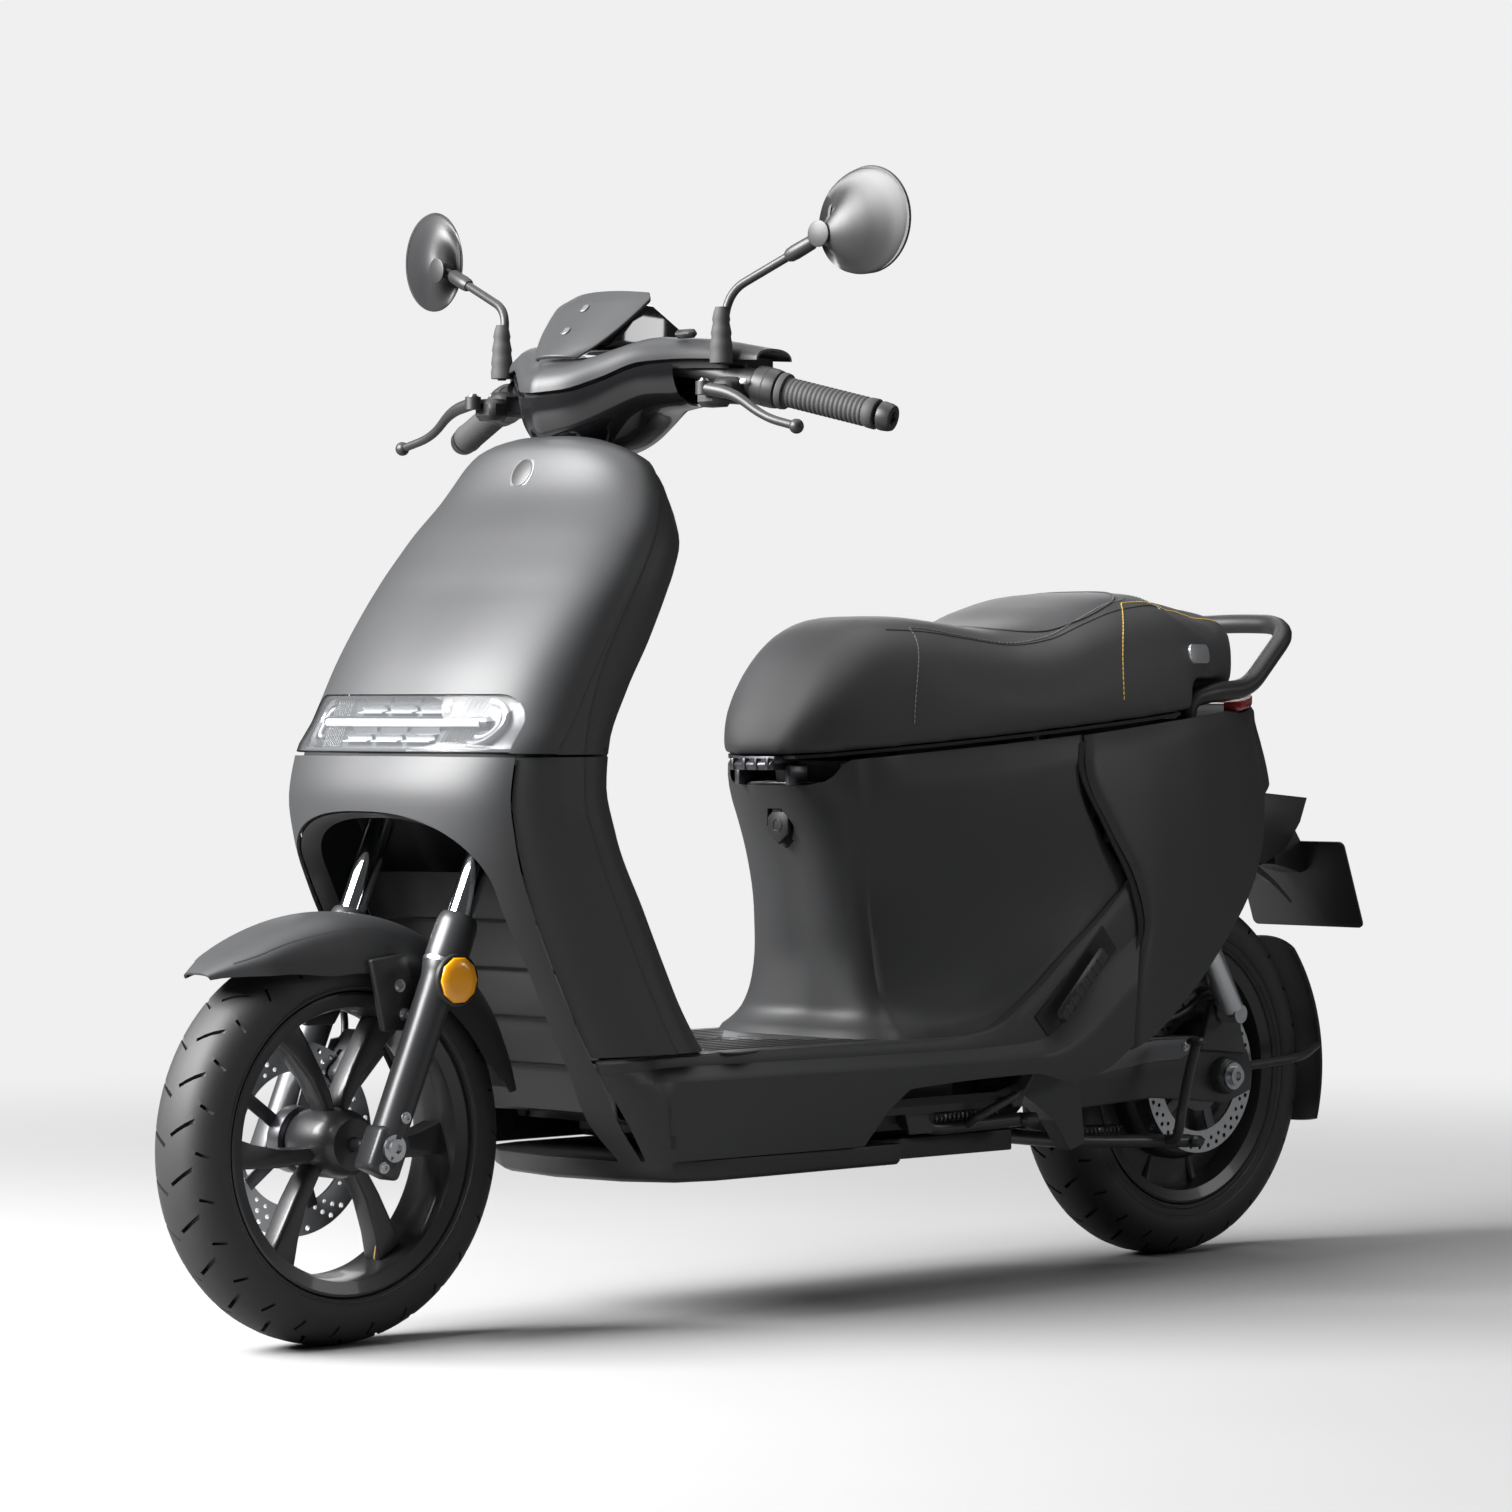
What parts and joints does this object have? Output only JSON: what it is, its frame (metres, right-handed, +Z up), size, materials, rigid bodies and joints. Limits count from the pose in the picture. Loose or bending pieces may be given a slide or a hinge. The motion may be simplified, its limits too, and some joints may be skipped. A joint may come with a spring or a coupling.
{
  "type": "moped scooter",
  "caption": "Electric step-through moped scooter with flat floor, round face panel, disc brakes, hub motor rear wheel, long seat and grab rail.",
  "frame": {"origin": "on the ground, under the centre of the whole scooter's box", "axes": "+Z up, front wheel towards -Y, rider's left towards +X"},
  "size_m": [0.8734, 1.9038, 1.3121],
  "materials": {
    "painted_frame": "satin",
    "painted_wheel": "satin",
    "matt_black_panel": "satin",
    "gloss_black_cover": "gloss",
    "satin_black_moulding": "satin",
    "seat_cover": "matte",
    "black_rubber": "matte",
    "tyre_rubber": "matte",
    "chrome": "polished",
    "brushed_disc": "brushed",
    "cast_aluminium": "satin",
    "grey_metal": "satin",
    "lamp_reflector": "polished",
    "clear_lens": "clear",
    "red_lens": "gloss",
    "amber_reflector": "gloss",
    "grey_switch": "satin",
    "display_glass": "gloss"
  },
  "bodies": {
    "chassis": {"frame": "painted_frame", "front_panel": "matt_black_panel", "headlight_lens": "clear_lens", "headlight_unit": "lamp_reflector", "nose_panel": "matt_black_panel", "leg_shield": "matt_black_panel", "louvre_panel": "satin_black_moulding", "belly_tray": "satin_black_moulding", "floor_pan": "matt_black_panel", "floor_mat": "black_rubber", "body_shell": "matt_black_panel", "tail_panel_left": "matt_black_panel", "tail_panel_right": "matt_black_panel", "tail_light": "red_lens", "plate_holder": "satin_black_moulding", "grab_rail": "satin_black_moulding", "battery_pack": "grey_metal", "storage_bin": "satin_black_moulding"},
    "steering": {"fork_upper": "chrome", "handlebar": "satin_black_moulding", "cowl_top": "matt_black_panel", "cowl_lower": "gloss_black_cover", "cowl_face": "matt_black_panel", "dash_display": "display_glass", "control_left": "satin_black_moulding", "control_right": "satin_black_moulding", "grip_left": "black_rubber"},
    "throttle": {"throttle_grip": "black_rubber"},
    "lever_left": {"brake_lever_left": "satin_black_moulding"},
    "lever_right": {"brake_lever_right": "satin_black_moulding"},
    "arm_left": {"mirror_arm_left": "satin_black_moulding"},
    "arm_right": {"mirror_arm_right": "satin_black_moulding"},
    "mirror_left": {"mirror_head_left": "satin_black_moulding"},
    "mirror_right": {"mirror_head_right": "satin_black_moulding"},
    "left_button": {"indicator_switch": "grey_switch"},
    "right_button": {"power_button": "grey_switch"},
    "fork_slider": {"fork_lower": "satin_black_moulding", "reflector_left": "amber_reflector", "reflector_right": "amber_reflector", "front_fender": "matt_black_panel", "front_caliper": "grey_metal"},
    "front_wheel": {"front_tyre": "tyre_rubber", "front_rim": "painted_wheel", "front_disc": "brushed_disc"},
    "seat": {"seat_cushion": "seat_cover", "seat_pan": "satin_black_moulding"},
    "swingarm": {"swingarm": "painted_frame", "mudflap": "satin_black_moulding"},
    "rear_wheel": {"rear_tyre": "tyre_rubber", "rear_rim": "painted_wheel", "rear_disc": "brushed_disc"},
    "shock_upper_left": {"shock_rod_left": "satin_black_moulding"},
    "shock_lower_left": {"shock_body_left": "cast_aluminium"},
    "shock_upper_right": {"shock_rod_right": "satin_black_moulding"},
    "shock_lower_right": {"shock_body_right": "cast_aluminium"},
    "centre_stand": {"centre_stand": "satin_black_moulding"},
    "side_stand": {"side_stand": "satin_black_moulding"},
    "peg_left": {"footrest_left": "satin_black_moulding"},
    "peg_right": {"footrest_right": "satin_black_moulding"},
    "charge_lid": {"charge_port_lid": "satin_black_moulding"}
  },
  "joints": [
    {"name": "steering_turn", "type": "hinge", "parent": "chassis", "child": "steering", "pos_m": [0, -0.4682, 0.8206], "axis": [0, 0.3987, 0.9171], "range_deg": [-34, 34]},
    {"name": "fork_travel", "type": "slide", "parent": "steering", "child": "fork_slider", "axis": [0, 0.3987, 0.9171], "range_m": [0, 0.055], "stiffness_N_per_m": 15000, "springref_m": -0.03},
    {"name": "front_wheel_spin", "type": "hinge", "parent": "fork_slider", "child": "front_wheel", "pos_m": [0, -0.7274, 0.2245], "axis": [1, 0, 0], "continuous": true},
    {"name": "throttle_twist", "type": "hinge", "parent": "steering", "child": "throttle", "pos_m": [-0.243, -0.2642, 1.0685], "axis": [-0.9105, 0.3331, -0.2451], "range_deg": [0, 70], "stiffness_Nm_per_rad": 0.3, "springref_deg": -11.46},
    {"name": "brake_lever_left_squeeze", "type": "hinge", "parent": "steering", "child": "lever_left", "pos_m": [0.20112, -0.34602, 1.06978], "axis": [0, 0, 1], "range_deg": [0, 11.5], "stiffness_Nm_per_rad": 3, "springref_deg": -11.46},
    {"name": "brake_lever_right_squeeze", "type": "hinge", "parent": "steering", "child": "lever_right", "pos_m": [-0.20112, -0.34602, 1.06978], "axis": [0, 0, -1], "range_deg": [0, 11.5], "stiffness_Nm_per_rad": 3, "springref_deg": -11.46},
    {"name": "mirror_arm_left_turn", "type": "hinge", "parent": "steering", "child": "arm_left", "pos_m": [0.191, -0.3094, 1.128], "axis": [0, 0, 1], "range_deg": [-30, 30]},
    {"name": "mirror_left_tilt", "type": "hinge", "parent": "arm_left", "child": "mirror_left", "pos_m": [0.325, -0.2804, 1.237], "axis": [1, 0, 0], "range_deg": [-10, 10]},
    {"name": "mirror_arm_right_turn", "type": "hinge", "parent": "steering", "child": "arm_right", "pos_m": [-0.191, -0.3094, 1.128], "axis": [0, 0, 1], "range_deg": [-30, 30]},
    {"name": "mirror_right_tilt", "type": "hinge", "parent": "arm_right", "child": "mirror_right", "pos_m": [-0.325, -0.2804, 1.237], "axis": [1, 0, 0], "range_deg": [-10, 10]},
    {"name": "left_button_push", "type": "slide", "parent": "steering", "child": "left_button", "axis": [0, 1, 0], "range_m": [0, 0.0012], "stiffness_N_per_m": 600, "springref_m": -0.001},
    {"name": "right_button_push", "type": "slide", "parent": "steering", "child": "right_button", "axis": [0, 1, 0], "range_m": [0, 0.0012], "stiffness_N_per_m": 600, "springref_m": -0.001},
    {"name": "seat_lift", "type": "hinge", "parent": "chassis", "child": "seat", "pos_m": [0, -0.0774, 0.6385], "axis": [1, 0, 0], "range_deg": [0, 75]},
    {"name": "swingarm_travel", "type": "hinge", "parent": "chassis", "child": "swingarm", "pos_m": [0, 0.2976, 0.232], "axis": [1, 0, 0], "range_deg": [0, 7], "stiffness_Nm_per_rad": 2600, "springref_deg": -6.88},
    {"name": "rear_wheel_spin", "type": "hinge", "parent": "swingarm", "child": "rear_wheel", "pos_m": [0, 0.6556, 0.2355], "axis": [1, 0, 0], "continuous": true},
    {"name": "shock_left_swing", "type": "hinge", "parent": "chassis", "child": "shock_upper_left", "pos_m": [0.128, 0.5076, 0.562], "axis": [1, 0, 0], "range_deg": [-0.5, 4.5]},
    {"name": "shock_left_slide", "type": "slide", "parent": "shock_upper_left", "child": "shock_lower_left", "axis": [0, -0.4973, 0.8676], "range_m": [-0.002, 0.066]},
    {"name": "shock_right_swing", "type": "hinge", "parent": "chassis", "child": "shock_upper_right", "pos_m": [-0.128, 0.5076, 0.562], "axis": [1, 0, 0], "range_deg": [-0.5, 4.5]},
    {"name": "shock_right_slide", "type": "slide", "parent": "shock_upper_right", "child": "shock_lower_right", "axis": [0, -0.4973, 0.8676], "range_m": [-0.002, 0.066]},
    {"name": "centre_stand_swing", "type": "hinge", "parent": "chassis", "child": "centre_stand", "pos_m": [0, 0.3346, 0.172], "axis": [-1, 0, 0], "range_deg": [0, 105], "stiffness_Nm_per_rad": 4, "springref_deg": -91.67},
    {"name": "side_stand_swing", "type": "hinge", "parent": "chassis", "child": "side_stand", "pos_m": [0.128, 0.0586, 0.213], "axis": [-1, 0, 0], "range_deg": [0, 100], "stiffness_Nm_per_rad": 1.5, "springref_deg": -57.3},
    {"name": "footrest_left_fold", "type": "hinge", "parent": "chassis", "child": "peg_left", "pos_m": [0.1945, 0.2526, 0.328], "axis": [0, 0.7031, -0.7111], "range_deg": [0, 85]},
    {"name": "footrest_right_fold", "type": "hinge", "parent": "chassis", "child": "peg_right", "pos_m": [-0.1945, 0.2526, 0.328], "axis": [0, -0.7031, 0.7111], "range_deg": [0, 85]},
    {"name": "charge_lid_lift", "type": "hinge", "parent": "chassis", "child": "charge_lid", "pos_m": [0, -0.0406, 0.587], "axis": [-1, 0, 0], "range_deg": [0, 100]}
  ],
  "couplings": [
    {"joint": "shock_left_swing", "follows": "swingarm_travel", "ratio": 0.35856},
    {"joint": "shock_left_slide", "follows": "swingarm_travel", "m_per_rad": 0.3463},
    {"joint": "shock_right_swing", "follows": "swingarm_travel", "ratio": 0.35856},
    {"joint": "shock_right_slide", "follows": "swingarm_travel", "m_per_rad": 0.3463}
  ]
}
